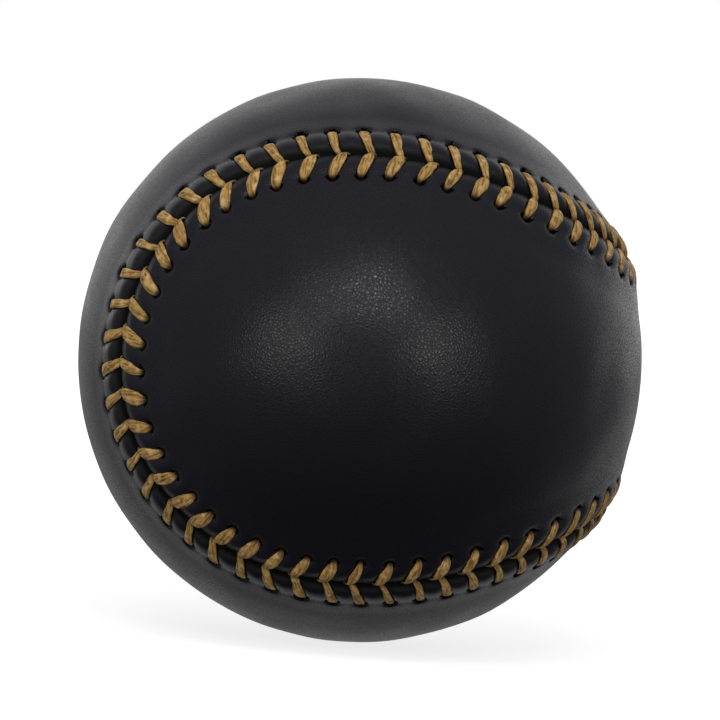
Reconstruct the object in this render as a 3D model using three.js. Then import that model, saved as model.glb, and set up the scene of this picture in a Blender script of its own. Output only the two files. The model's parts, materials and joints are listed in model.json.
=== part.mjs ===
// A stitched leather baseball, as the pieces that it comes apart into: a cork centre in rubber,
// four windings of yarn, a cover of two leather panels, and the two threads that lace the panels together.
// Millimetres, +Z up, origin at the centre of the ball.
// The front panel's lobes face -Y and +Y and its waist faces +X. The back panel's lobes face +Z and -Z
// and its waist faces -X.
import * as THREE from 'three';

// Centre of the ball
const corkDiameter = 20.64;
const shellThickness = 3.82;
const gasketThickness = 1.0;
const cupThickness = 2.23;
const layerGap = 0.15; // left between one layer and the next

// Windings, each from the layer below it to its own outside
const grayWoolThickness = 14.1;
const whiteWoolThickness = 1.63;
const outerWoolThickness = 2.1;
const finishingThickness = 0.35;
const yarnEndChannel = 3.0; // diameter of the channel at the right of each winding, where its yarn starts

// Leather cover
const coverThickness = 1.25;
const coverGap = 0.5; // film of cement between the last winding and the leather
const coverWaist = 30.8; // across a panel at its narrowest, from seam to seam
const seamBend = 0.479; // share of the short wave in the seam's curve, which rounds the lobes
const coverSlide = 1.4; // how far the panels were pulled along Y in sewing: the -Y lobe is the larger one
const ridgeDistance = 1.7; // from the seam to the crest of the raised leather beside it
const ridgeCrown = 0.38; // height of that crest over the leather's edge
const bandWidth = 7.0; // from the seam to where the leather lies flat on the winding again
const holeDistance = 3.55; // from the seam to the middle of a stitch hole

// Stitching. The spacing is as sewn by hand: it drifts by a part of a stitch around the seam.
const stitchCount = 108;
const stitchPhase = 0.35; // in stitches, from the tip of the front panel's +Y lobe
const spacingDrift = 0.25; // in stitches, once around the seam
const spacingRipple = 0.16; // in stitches, four times around the seam
const rippleStart = 0.1; // where the ripple starts, as a share of its wave
const threadThickness = 0.42;
const threadWidthInHole = 0.9;
const threadWidthOnCrest = 1.4;
const threadWidthInSeam = 0.5;
const threadGap = 0.12; // left between the thread and what it passes
const stitchLean = 1.3; // how far along the seam the two legs of a stitch run, on average
const staggerGap = 0.6; // left between the two legs of a stitch where they go into the seam

// Fineness of the surfaces
const aroundCount = 14; // sides of the round inner pieces
const polarCount = 8; // steps of their outline from pole to pole, an even number
const acrossCount = 6; // steps across a panel between its two edges
const seamDivisions = 4320; // of the seam's length, to space the stitches by
const halfStitch = 0.5;

// Radii of the layers
const corkRadius = corkDiameter / 2;
const shellInside = corkRadius + layerGap;
const shellOutside = shellInside + shellThickness;
const cupInside = shellOutside + layerGap;
const cupOutside = cupInside + cupThickness;
const grayWoolInside = cupOutside + layerGap;
const grayWoolOutside = grayWoolInside + grayWoolThickness;
const whiteWoolInside = grayWoolOutside + layerGap;
const whiteWoolOutside = whiteWoolInside + whiteWoolThickness;
const outerWoolInside = whiteWoolOutside + layerGap;
const outerWoolOutside = outerWoolInside + outerWoolThickness;
const finishingInside = outerWoolOutside + layerGap;
const finishingOutside = finishingInside + finishingThickness;
const ballRadius = finishingOutside + coverGap + coverThickness;

// Heights over the ball's leather, along the seam. The thread under the leather lifts it.
const threadHalf = threadThickness / 2;
const seamLift = threadThickness + 2 * threadGap - coverGap;
const underThread = threadGap - coverThickness - coverGap;
const edgeDistance = threadHalf + threadGap;
const holeNear = holeDistance - threadHalf - threadGap;
const holeFar = holeDistance + threadHalf + threadGap;
const holeHalfWidth = threadWidthInHole / 2 + threadGap;
const legStagger = (threadWidthInSeam + staggerGap) / 2;

function makeMaterial(color, roughness) {
  return new THREE.MeshStandardMaterial({ color, roughness, metalness: 0 });
}

const corkMaterial = makeMaterial(0xa9774a, 0.9);
const blackRubberMaterial = makeMaterial(0x1b1b1d, 0.7);
const redRubberMaterial = makeMaterial(0x9c2a22, 0.65);
const grayWoolMaterial = makeMaterial(0x8d8b88, 0.95);
const whiteWoolMaterial = makeMaterial(0xdcd8cc, 0.95);
const finishingMaterial = makeMaterial(0xe9e6dc, 0.9);
const leatherMaterial = makeMaterial(0x17171a, 0.5);
const threadMaterial = makeMaterial(0xb5853f, 0.6);

const ball = new THREE.Group();

function addPiece(name, geometry, material) {
  const mesh = new THREE.Mesh(geometry, material);
  mesh.name = name;
  ball.add(mesh);
}

// Round inner pieces: profiles in (radius, place along X), turned about X as the seam is.
// Right is the side towards +X.

// Outline of a ball between two of its polar steps, counted from the right. All layers share the steps,
// so that their facets lie over each other and the gap between them is even.
function outline(radius, from, to) {
  const points = [];
  for (let i = 0; i <= Math.abs(to - from); i++) {
    const angle = (Math.PI * (from + i * Math.sign(to - from))) / polarCount;
    points.push(new THREE.Vector2(radius * Math.sin(angle), radius * Math.cos(angle)));
  }
  return points;
}

// How much a ball's outline draws in along its first facet, from the pole or from the middle.
const facetSlope = Math.tan(Math.PI / polarCount / 2);

function turned(points) {
  return new THREE.LatheGeometry(points, aroundCount).rotateZ(-Math.PI / 2);
}

// The right half of a hollow ball, cut off flat a little beside the middle.
function rightHalf(inside, outside, cutPlace) {
  const lastStep = polarCount / 2 - 1;
  const rim = (radius) => new THREE.Vector2(radius - cutPlace * facetSlope, cutPlace);
  return turned([
    rim(outside),
    ...outline(outside, lastStep, 0),
    ...outline(inside, 0, lastStep),
    rim(inside),
    rim(outside),
  ]);
}

function leftHalf(inside, outside, cutPlace) {
  return rightHalf(inside, outside, cutPlace).rotateY(Math.PI);
}

// A flat washer as wide as the shells that it lies between.
function gasketGeometry() {
  const half = gasketThickness / 2;
  const rim = shellOutside - half * facetSlope;
  const inner = shellInside;
  const corners = [[inner, -half], [rim, -half], [rim, half], [inner, half], [inner, -half]];
  return turned(corners.map(([radius, place]) => new THREE.Vector2(radius, place)));
}

// A hollow ball with a channel through its wall at the right.
function windingGeometry(inside, outside) {
  const channel = yarnEndChannel / 2;
  const mouth = (radius) => new THREE.Vector2(channel, radius - channel * facetSlope);
  return turned([
    ...outline(outside, polarCount, 1),
    mouth(outside),
    mouth(inside),
    ...outline(inside, 1, polarCount),
  ]);
}

// The seam: a closed curve on the unit sphere, the same from both panels' sides but for their slide.
// Along Y and Z it is a long wave with a short one, along X one wave, whose reach sets the waist's width.
class SeamCurve extends THREE.Curve {
  constructor() {
    super();
    this.reach = (1 - seamBend) / Math.tan(coverWaist / 2 / ballRadius);
    this.arcLengthDivisions = seamDivisions;
  }

  getPoint(t, target = new THREE.Vector3()) {
    const angle = 2 * Math.PI * t;
    return target.set(
      -this.reach * Math.cos(2 * angle),
      Math.cos(angle) - seamBend * Math.cos(3 * angle) + coverSlide / ballRadius,
      -Math.sin(angle) - seamBend * Math.sin(3 * angle),
    ).normalize();
  }
}

const seam = new SeamCurve();
const stitchPitch = (seam.getLength() * ballRadius) / stitchCount;

// How far along the seam a stitch lies, as a share of the seam's length. Half stitches lie between.
function alongSeam(stitch) {
  const turn = (2 * Math.PI * stitch) / stitchCount;
  const ripple = spacingRipple * Math.sin(4 * turn - 2 * Math.PI * rippleStart);
  const place = stitch + stitchPhase - spacingDrift * Math.sin(turn) + ripple;
  return THREE.MathUtils.euclideanModulo(place / stitchCount, 1);
}

// A place beside the seam: at a stitch, off the seam towards the front panel (or the back panel, where
// the distance is negative), and over the leather. The shift goes along the seam.
function besideSeam(stitch, distance, height, shift = 0) {
  const share = alongSeam(stitch);
  const point = seam.getPointAt(share);
  const tangent = seam.getTangentAt(share);
  const sideways = new THREE.Vector3().crossVectors(tangent, point);
  const angle = distance / ballRadius;
  const place = point.multiplyScalar(Math.cos(angle)).addScaledVector(sideways, Math.sin(angle));
  return place.multiplyScalar(ballRadius + height).addScaledVector(tangent, shift);
}

function surfaceOf(triangles) {
  const geometry = new THREE.BufferGeometry().setFromPoints(triangles.flat());
  geometry.computeVertexNormals();
  return geometry;
}

function quad(a, b, c, d) {
  return [[a, b, c], [a, c, d]];
}

function turnedOver(triangles) {
  return triangles.map(([a, b, c]) => [a, c, b]);
}

// The wall between two closed loops of as many points.
function wallBetween(loop, next) {
  return loop.flatMap((point, i) => {
    const j = (i + 1) % loop.length;
    return quad(point, next[i], next[j], loop[j]);
  });
}

// One side of a panel's leather, depth below its outside. The band beside the seam has a hole
// at each stitch, and arcs from edge to edge fill the panel inside the band.
function leatherSheet(side, tip, depth) {
  const at = (stitch, distance, height) => besideSeam(tip + stitch, side * distance, height - depth);
  const edge = [];
  const crest = [];
  const end = [];
  const holes = [];
  for (let i = 0; i <= stitchCount; i++) {
    edge.push(at(i, edgeDistance, seamLift));
    crest.push(at(i, ridgeDistance, seamLift + ridgeCrown));
    end.push(at(i, bandWidth, 0));
  }
  for (let i = 0; i < stitchCount; i++) {
    const stitch = tip + i + halfStitch;
    const corner = (distance, shift) => besideSeam(stitch, side * distance, seamLift - depth, shift);
    holes.push([
      corner(holeNear, -holeHalfWidth),
      corner(holeNear, holeHalfWidth),
      corner(holeFar, holeHalfWidth),
      corner(holeFar, -holeHalfWidth),
    ]);
  }

  const triangles = [];
  for (let i = 0; i < stitchCount; i++) {
    const [a, b, c, d] = holes[i];
    triangles.push(
      ...quad(edge[i], edge[i + 1], crest[i + 1], crest[i]),
      ...quad(crest[i], crest[i + 1], b, a),
      ...quad(crest[i + 1], end[i + 1], c, b),
      ...quad(end[i + 1], end[i], d, c),
      ...quad(end[i], crest[i], a, d),
    );
  }

  // Arcs from the points at the band's end to those across the panel run from tip to tip.
  const lastArc = Math.floor((stitchCount - 1) / 2);
  let before = new Array(acrossCount + 1).fill(end[0]);
  for (let i = 1; i <= lastArc; i++) {
    const arc = arcAcross(end[i], end[stitchCount - i]);
    for (let j = 0; j < acrossCount; j++) {
      triangles.push([before[j], arc[j], arc[j + 1]]);
      if (i > 1) triangles.push([before[j], arc[j + 1], before[j + 1]]);
    }
    before = arc;
  }
  if (stitchCount % 2 === 0) {
    for (let j = 0; j < acrossCount; j++) {
      triangles.push([before[j], end[stitchCount / 2], before[j + 1]]);
    }
  }
  return { edge, holes, triangles };
}

// Points of the great circle from one point of a panel to another.
function arcAcross(from, to) {
  const turnAxis = new THREE.Vector3().crossVectors(from, to).normalize();
  const step = from.angleTo(to) / acrossCount;
  const points = [];
  for (let i = 0; i < acrossCount; i++) {
    points.push(from.clone().applyAxisAngle(turnAxis, i * step));
  }
  return [...points, to];
}

// A leather panel: side is 1 for the front panel and -1 for the back panel, and tip is the half stitch
// nearest to the tip of its first lobe.
function panelGeometry(side, tip) {
  const outer = leatherSheet(side, tip, 0);
  const inner = leatherSheet(side, tip, coverThickness);
  const walls = [];
  for (let i = 0; i < stitchCount; i++) {
    walls.push(...quad(inner.edge[i], inner.edge[i + 1], outer.edge[i + 1], outer.edge[i]));
    walls.push(...wallBetween(inner.holes[i], outer.holes[i]));
  }
  const triangles = [...outer.triangles, ...turnedOver(inner.triangles), ...walls];
  return surfaceOf(side > 0 ? turnedOver(triangles) : triangles);
}

// A thread goes up through a hole of one panel, over the leather, down into the seam, and under
// the other panel to that panel's next hole. Each section has a point on the side of the leather that the leg
// lies on and one on its free side, both as (distance from the seam, height), a width along the seam,
// and the share of the leg's lean that it has run.
function legSections() {
  const underTop = underThread + threadThickness;
  const overEdge = seamLift + threadGap;
  const overCrest = overEdge + ridgeCrown;
  const holeEnds = [holeDistance - threadHalf, holeDistance + threadHalf];
  const crestShare = 1 - ridgeDistance / holeDistance;
  return [
    { leather: [holeEnds[0], underTop], free: [holeEnds[1], underThread], width: threadWidthInHole, run: 0 },
    {
      leather: [holeEnds[0], overEdge],
      free: [holeEnds[1], overEdge + threadThickness],
      width: threadWidthInHole,
      run: 0,
    },
    {
      leather: [ridgeDistance, overCrest],
      free: [ridgeDistance, overCrest + threadThickness],
      width: threadWidthOnCrest,
      run: crestShare,
    },
    {
      leather: [threadHalf, overEdge],
      free: [-threadHalf, overEdge + threadThickness],
      width: threadWidthInSeam,
      run: 1,
    },
    { leather: [threadHalf, underThread], free: [-threadHalf, underTop], width: threadWidthInSeam, run: 1 },
  ];
}

// A thread whose first leg lies on the front panel (firstSide 1) or on the back panel (firstSide -1).
function threadGeometry(firstSide) {
  const sections = legSections();
  const rings = [];
  for (let stitch = 0; stitch < stitchCount; stitch++) {
    const side = stitch % 2 === 0 ? firstSide : -firstSide;
    const lean = (stitchLean + side * legStagger) / stitchPitch;
    for (const { leather, free, width, run } of sections) {
      const corners = (line) => [-1, 1].map((end) => (
        besideSeam(stitch + run * lean, side * line[0], line[1], (end * width) / 2)
      ));
      const [frontLine, backLine] = side > 0 ? [leather, free] : [free, leather];
      const [a, b] = corners(frontLine);
      const [d, c] = corners(backLine);
      rings.push([a, b, c, d]);
    }
  }
  const triangles = [...quad(...rings[0]), ...turnedOver(quad(...rings[rings.length - 1]))];
  for (let i = 0; i + 1 < rings.length; i++) {
    triangles.push(...wallBetween(rings[i], rings[i + 1]));
  }
  return surfaceOf(triangles);
}

const shellCut = gasketThickness / 2 + layerGap;
const cupCut = layerGap / 2;
const firstTip = -halfStitch;
const quarterTip = Math.round(stitchCount / 4) - halfStitch;

addPiece('cork_center', turned(outline(corkRadius, polarCount, 0)), corkMaterial);
addPiece('black_rubber_shell_left', leftHalf(shellInside, shellOutside, shellCut), blackRubberMaterial);
addPiece('black_rubber_shell_right', rightHalf(shellInside, shellOutside, shellCut), blackRubberMaterial);
addPiece('rubber_gasket', gasketGeometry(), redRubberMaterial);
addPiece('red_rubber_cup_left', leftHalf(cupInside, cupOutside, cupCut), redRubberMaterial);
addPiece('red_rubber_cup_right', rightHalf(cupInside, cupOutside, cupCut), redRubberMaterial);
addPiece('gray_wool_winding', windingGeometry(grayWoolInside, grayWoolOutside), grayWoolMaterial);
addPiece('white_wool_winding', windingGeometry(whiteWoolInside, whiteWoolOutside), whiteWoolMaterial);
addPiece('outer_wool_winding', windingGeometry(outerWoolInside, outerWoolOutside), grayWoolMaterial);
addPiece('finishing_winding', windingGeometry(finishingInside, finishingOutside), finishingMaterial);
addPiece('cover_panel_front', panelGeometry(1, firstTip), leatherMaterial);
addPiece('cover_panel_back', panelGeometry(-1, quarterTip), leatherMaterial);
addPiece('stitch_thread_one', threadGeometry(1), threadMaterial);
addPiece('stitch_thread_two', threadGeometry(-1), threadMaterial);

export default ball;
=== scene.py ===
# A black leather baseball with gold stitching: its pieces, their finishes, the studio and the camera.
# Lengths are millimetres until a mesh is made. The axes are the frame's own.
import json
import math

import bpy
import numpy as np
from mathutils import Matrix, Vector


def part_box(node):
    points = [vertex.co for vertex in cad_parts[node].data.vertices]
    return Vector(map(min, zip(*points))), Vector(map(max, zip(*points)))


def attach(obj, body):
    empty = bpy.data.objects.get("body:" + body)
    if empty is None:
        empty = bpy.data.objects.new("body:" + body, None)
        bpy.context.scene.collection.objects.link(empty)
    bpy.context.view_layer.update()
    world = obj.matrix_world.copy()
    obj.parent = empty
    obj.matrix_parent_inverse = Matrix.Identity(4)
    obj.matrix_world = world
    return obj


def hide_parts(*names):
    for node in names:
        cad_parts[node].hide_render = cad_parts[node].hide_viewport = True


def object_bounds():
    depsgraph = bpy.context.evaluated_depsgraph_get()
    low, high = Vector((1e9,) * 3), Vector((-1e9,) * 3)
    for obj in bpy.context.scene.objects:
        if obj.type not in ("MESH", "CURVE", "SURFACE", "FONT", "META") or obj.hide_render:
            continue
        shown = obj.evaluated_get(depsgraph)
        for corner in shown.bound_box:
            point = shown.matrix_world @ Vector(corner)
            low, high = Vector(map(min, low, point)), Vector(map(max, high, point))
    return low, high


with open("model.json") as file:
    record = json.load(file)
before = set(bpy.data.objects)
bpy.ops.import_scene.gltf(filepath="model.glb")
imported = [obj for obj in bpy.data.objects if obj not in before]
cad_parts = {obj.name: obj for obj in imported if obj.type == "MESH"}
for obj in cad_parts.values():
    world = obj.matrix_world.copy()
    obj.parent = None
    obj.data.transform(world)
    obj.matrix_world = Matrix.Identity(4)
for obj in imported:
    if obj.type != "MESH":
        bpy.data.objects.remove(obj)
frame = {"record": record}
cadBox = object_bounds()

mm = 0.001
fullTurn = 2 * math.pi
front, back = 1, -1  # the two sides of the seam: towards the front panel, towards the back panel

ballRadius = -frame["record"]["mounts"][0]["pos_m"][2] / mm
print("frame loaded, ball radius", round(ballRadius, 2), "mm")


def addObject(name, data):
    made = bpy.data.objects.new(name, data)
    bpy.context.scene.collection.objects.link(made)
    return made


# Camera

photoView = dict(
    azimuth=-13.44,  # degrees, as the ball lies in the picture
    elevation=2.61,
    roll=-4.47,
    distance=620.0,
    lens=234.6,
)


def aimCamera(view):
    # looks at the ball's middle, from an azimuth off -Y and an elevation, and rolls about its own axis
    azimuth, elevation, roll = (math.radians(view[name]) for name in ("azimuth", "elevation", "roll"))
    level = math.cos(elevation)
    away = Vector((math.sin(azimuth) * level, -math.cos(azimuth) * level, math.sin(elevation)))
    levelRight = Vector((0, 0, 1)).cross(away).normalized()
    up = away.cross(levelRight) * math.cos(roll) + levelRight * math.sin(roll)
    axes = Matrix((up.cross(away), up, away)).transposed()
    camera = addObject("photo_camera", bpy.data.cameras.new("photo_camera"))
    camera.data.lens = view["lens"]
    camera.matrix_world = Matrix.Translation(away * view["distance"] * mm) @ axes.to_4x4()
    bpy.context.scene.camera = camera
    return axes


viewAxes = aimCamera(photoView)  # columns: right, up and towards the camera
print("camera aimed")


# Meshes

def signedVolume(points, faces):
    # sum of the tetrahedra from the origin to each face, positive where the faces point outwards
    corners = points[faces]
    fan = [np.einsum("ij,ij->i", corners[:, 0], np.cross(corners[:, i], corners[:, i + 1]))
           for i in range(1, faces.shape[1] - 1)]
    return sum(part.sum() for part in fan) / 6


def ringFaces(rows, columns):
    # quads of a grid whose rows close on themselves
    row, column = np.meshgrid(np.arange(rows - 1), np.arange(columns), indexing="ij")
    after = (column + 1) % columns
    corners = [row * columns + column, (row + 1) * columns + column,
               (row + 1) * columns + after, row * columns + after]
    return np.stack(corners, axis=-1).reshape(-1, 4)


def unit(vectors):
    return vectors / np.linalg.norm(vectors, axis=-1, keepdims=True)


def squareTo(axis, vectors):
    # unit vectors along others, less their part along an axis
    return unit(vectors - axis * (vectors * axis).sum(axis=-1, keepdims=True))


def bell(away, width):
    return np.exp(-(away / width) ** 2)


def waves(seed, count, shortest, longest):
    # unevenness of handmade things: a sum of plane waves with random headings, of mean square 1
    draw = np.random.default_rng(seed)
    heading = unit(draw.standard_normal((count, 3)))
    heading *= fullTurn / draw.uniform(shortest, longest, (count, 1))
    start = draw.uniform(0, fullTurn, count)
    return lambda places: np.cos(places @ heading.T + start).sum(axis=-1) * math.sqrt(2 / count)


def smoothRun(keys, between):
    # Catmull-Rom: a cubic from key to key, whose slope at a key comes from the keys on both its sides
    padded = np.vstack([2 * keys[0] - keys[1], keys, 2 * keys[-1] - keys[-2]])
    a, b, c, d = (padded[i:len(padded) - 3 + i, None] for i in range(4))
    t = (np.arange(between) / between)[None, :, None]
    curve = b + 0.5 * t * (c - a + t * (2 * a - 5 * b + 4 * c - d + t * (3 * (b - c) + d - a)))
    return np.vstack([curve.reshape(-1, keys.shape[1]), keys[-1:]])


def lengthAlong(path):
    # from the start of a path to each of its points
    return np.concatenate([[0], np.cumsum(np.linalg.norm(np.diff(path, axis=0), axis=1))])


def flattenedRing(sides, acrossPower, deepPower):
    # a circle of radius 1 with powers of its cosine and sine: 1 for round, less for flat sides
    angle = fullTurn * np.arange(sides) / sides
    pairs = (np.cos(angle), acrossPower), (np.sin(angle), deepPower)
    return np.stack([np.sign(wave) * np.abs(wave) ** power for wave, power in pairs], axis=-1)


def carriedProfile(path, wide, deep, profile):
    # a closed profile carried along a path: each ring is path + wide * profile x + deep * profile y
    rings = path[:, None] + wide[:, None] * profile[None, :, :1] + deep[:, None] * profile[None, :, 1:]
    steps, sides = rings.shape[:2]
    run = lengthAlong(path)
    row, column = np.meshgrid(np.arange(steps - 1), np.arange(sides), indexing="ij")
    row, column = row.ravel(), column.ravel()
    uv = np.stack([np.stack([run[row + i], (column + j) / sides], axis=-1)
                   for i, j in ((0, 0), (1, 0), (1, 1), (0, 1))], axis=1)
    ends = np.stack([np.arange(sides), (steps - 1) * sides + np.arange(sides)[::-1]])
    endUv = np.zeros((2, sides, 2))
    return rings.reshape(-1, 3), [ringFaces(steps, sides), ends], [uv, endUv]


# Seam

seamSet = dict(
    waist=30.8,  # across a panel at its narrowest, from seam to seam
    bend=0.479,  # share of the short wave, which rounds the lobes
    slide=1.4,  # how far the panels were pulled along Y in sewing
    stitches=108,
    phase=0.35,  # in stitches, from the tip of the front panel's far lobe
    drift=0.25,  # in stitches, how the hand-sewn spacing wanders around the ball
    ripple=0.16,  # in stitches, a shorter wandering
    ripples=4,  # around the ball
    rippleStart=0.1,  # as a share of one
    divisions=8640,
)

stitchCount = seamSet["stitches"]
bend = seamSet["bend"]
reach = (1 - bend) / math.tan(seamSet["waist"] / 2 / ballRadius)


def seamPoint(turn):
    # on a ball of radius 1: along Y and Z a long wave of the turn angle with a short one, along X one wave
    return unit(np.stack([
        -reach * np.cos(2 * turn),
        np.cos(turn) - bend * np.cos(3 * turn) + seamSet["slide"] / ballRadius,
        -np.sin(turn) - bend * np.sin(3 * turn),
    ], axis=-1))


def seamHeading(turn):
    # unit vector along the seam: the slope of the same waves, less its part away from the ball
    slope = np.stack([
        2 * reach * np.sin(2 * turn),
        3 * bend * np.sin(3 * turn) - np.sin(turn),
        -np.cos(turn) - 3 * bend * np.cos(3 * turn),
    ], axis=-1)
    return squareTo(seamPoint(turn), slope)


turnTable = np.linspace(0, fullTurn, seamSet["divisions"] + 1)
lengthTable = lengthAlong(seamPoint(turnTable))
stitchPitch = lengthTable[-1] * ballRadius / stitchCount


def turnAt(stitch):
    # the turn angle of a stitch, counted along the seam's length with the drift of the spacing
    s = seamSet
    angle = fullTurn * stitch / stitchCount
    ripple = s["ripple"] * np.sin(s["ripples"] * angle - fullTurn * s["rippleStart"])
    share = (stitch + s["phase"] - s["drift"] * np.sin(angle) + ripple) / stitchCount % 1
    return np.interp(share * lengthTable[-1], lengthTable, turnTable)


def besideSeam(stitch, distance, height):
    # a place at a stitch, off the seam along a great circle and over the ball
    turn = turnAt(stitch)
    point = seamPoint(turn)
    sideways = np.cross(seamHeading(turn), point)
    angle = (distance / ballRadius)[..., None]
    return (point * np.cos(angle) + sideways * np.sin(angle)) * (ballRadius + height)[..., None]


# Stitches, as sewn by hand: each leg differs a little from the next

legSet = dict(
    hole={front: 3.50, back: 3.80},  # from the seam to where a leg comes up
    lean={front: 1.58, back: 0.90},  # how far a leg runs along the seam
    tip={front: 0.32, back: 0.40},  # how much further its end runs along the seam
    tipStart={front: 0.65, back: 1.10},  # from the seam
    runOn=1.2,  # how long the lean goes on past the seam, from 1 at the seam
    wander=0.065,  # in stitches, how the two sides part from each other around the ball
    wanders=5,  # times around
    wide=0.45,  # how much further the holes lie along one stretch
    wideAt=54,
    wideLength=5.5,
    flat=0.55,  # share of its height that the seam lost along another
    flatAt=0,
    flatLength=7.0,
    farthest=2.0,  # how many spreads a leg may be off
    holeSpread=0.10,
    leanSpread=0.16,
    placeSpread=0.035,  # in stitches
    widthSpread=0.09,
    widthDrift=0.12,  # twice around
    widestAt=57,
    seed=108,
)

legDraw = np.random.default_rng(legSet["seed"])


def near(stitch, middle, length):
    # a bell from 0 to 1 around a stitch
    away = (stitch - middle + stitchCount / 2) % stitchCount - stitchCount / 2
    return bell(away, length)


def sewnLegs(side):
    # the legs of one side: usual values with random spreads, and in some a slow wave around the ball
    s = legSet
    spread = np.clip(legDraw.standard_normal((5, stitchCount)), -s["farthest"], s["farthest"])
    stitch = np.arange(stitchCount)
    around = fullTurn * stitch / stitchCount
    widest = fullTurn * (stitch - s["widestAt"]) / stitchCount
    wider = s["wide"] * near(stitch, s["wideAt"], s["wideLength"])
    return dict(
        hole=s["hole"][side] + wider + s["holeSpread"] * spread[0],
        lean=s["lean"][side] + s["leanSpread"] * spread[1],
        width=1 + s["widthSpread"] * spread[2] + s["widthDrift"] * np.cos(2 * widest),
        pull=spread[3],
        place=s["placeSpread"] * spread[4] - side * s["wander"] * np.sin(s["wanders"] * around),
    )


sewn = {side: sewnLegs(side) for side in (front, back)}


def legValue(side, name, stitch):
    # between two legs the value goes evenly from one to the other
    values = sewn[side][name]
    return np.interp(stitch % stitchCount, np.arange(stitchCount + 1), np.append(values, values[0]))


def legShift(side, across, hole, lean, place):
    # how far along the seam a leg has run, in stitches: evenly, and faster at its thin end
    runOn = legSet["runOn"]
    even = lean * np.clip(1 - across / hole, 0, runOn)
    thinEnd = legSet["tip"][side] * np.clip(1 - across / legSet["tipStart"][side], 0, runOn) ** 2
    return place + (even + thinEnd) / stitchPitch


def seamLift(stitch):
    # how much of its height the seam keeps: it was rolled flatter along one stretch
    return 1 - legSet["flat"] * near(stitch, legSet["flatAt"], legSet["flatLength"])


print("seam laid out,", stitchCount, "stitches of", round(stitchPitch, 2), "mm")


# Finishes

def shaderNode(tree, kind, inputs=None, **settings):
    made = tree.nodes.new("ShaderNode" + kind)
    for label, value in settings.items():
        setattr(made, label, value)
    for label, value in (inputs or {}).items():
        if isinstance(value, bpy.types.NodeSocket):
            tree.links.new(value, made.inputs[label])
        else:
            made.inputs[label].default_value = value
    return made


def mathNode(tree, operation, first, second=0.0, third=0.0):
    return shaderNode(tree, "Math", {0: first, 1: second, 2: third}, operation=operation).outputs[0]


def vectorNode(tree, operation, inputs):
    return shaderNode(tree, "VectorMath", inputs, operation=operation).outputs


def noiseNode(tree, place, scale, detail):
    return shaderNode(tree, "TexNoise", {"Vector": place, "Scale": scale, "Detail": detail}).outputs


def objectPlace(tree):
    return shaderNode(tree, "TexCoord").outputs["Object"]


def mixColor(tree, share, first, second):
    # inputs 6 and 7 and output 2 are the node's colour sockets
    return shaderNode(tree, "Mix", {0: share, 6: first, 7: second}, data_type="RGBA").outputs[2]


def mapRange(tree, value, fromLow, fromHigh, toLow, toHigh):
    inputs = {"Value": value, "From Min": fromLow, "From Max": fromHigh, "To Min": toLow, "To Max": toHigh}
    return shaderNode(tree, "MapRange", inputs, interpolation_type="SMOOTHSTEP").outputs[0]


def newGroup(name, inputs, outputs):
    group = bpy.data.node_groups.new(name, "ShaderNodeTree")
    for label, kind in inputs.items():
        group.interface.new_socket(label, in_out="INPUT", socket_type="NodeSocket" + kind)
    for label in outputs:
        group.interface.new_socket(label, in_out="OUTPUT", socket_type="NodeSocketFloat")
    return group, group.nodes.new("NodeGroupInput").outputs, group.nodes.new("NodeGroupOutput").inputs


pebbleSet = dict(
    detail=dict(Pebbles=1.0, Wrinkles=3.0, Patches=2.0),  # of the noise in each
    bend=0.22,  # how far the outlines of the pebbles stray
    dome=0.42,  # from the crease to the top of a pebble, in pebbles
    crease=0.22,  # from the middle of a crease to its edge, in pebbles
    wrinkled=0.3,  # height of the wrinkles, beside the pebbles
    patchLow=0.3,
    patchHigh=0.7,
)


def makePebbles():
    # rounded pebbles parted by creases, with fine wrinkles on them and a slow unevenness over all
    s = pebbleSet
    names = {"Place": "Vector", "Pebbles": "Float", "Wrinkles": "Float", "Patches": "Float"}
    group, given, result = newGroup("pebbles", names, ("Height", "Crease", "Patch"))

    def noise(name):
        return noiseNode(group, given["Place"], given[name], s["detail"][name])

    bent = vectorNode(group, "SCALE", {0: noise("Pebbles")["Color"], "Scale": s["bend"] * mm})[0]
    place = vectorNode(group, "ADD", {0: given["Place"], 1: bent})[0]
    cells = shaderNode(group, "TexVoronoi", {"Vector": place, "Scale": given["Pebbles"]},
                       feature="DISTANCE_TO_EDGE").outputs["Distance"]
    pebble = mapRange(group, cells, 0.0, s["dome"], 0.0, 1.0)
    rough = mathNode(group, "MULTIPLY_ADD", noise("Wrinkles")["Fac"], s["wrinkled"], pebble)
    patch = mapRange(group, noise("Patches")["Fac"], s["patchLow"], s["patchHigh"], 0.0, 1.0)
    group.links.new(rough, result["Height"])
    group.links.new(mapRange(group, cells, 0.0, s["crease"], 1.0, 0.0), result["Crease"])
    group.links.new(patch, result["Patch"])
    return group


twistSet = dict(
    drawn=0.65,  # how short the fibres are along the yarn
    fibreDetail=3.0,
    fibreHeight=0.8,  # beside the strands
    gap=0.45,  # how wide the painted shade in the gaps between strands reaches
    streakLow=0.31,
    streakHigh=0.60,
)


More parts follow.
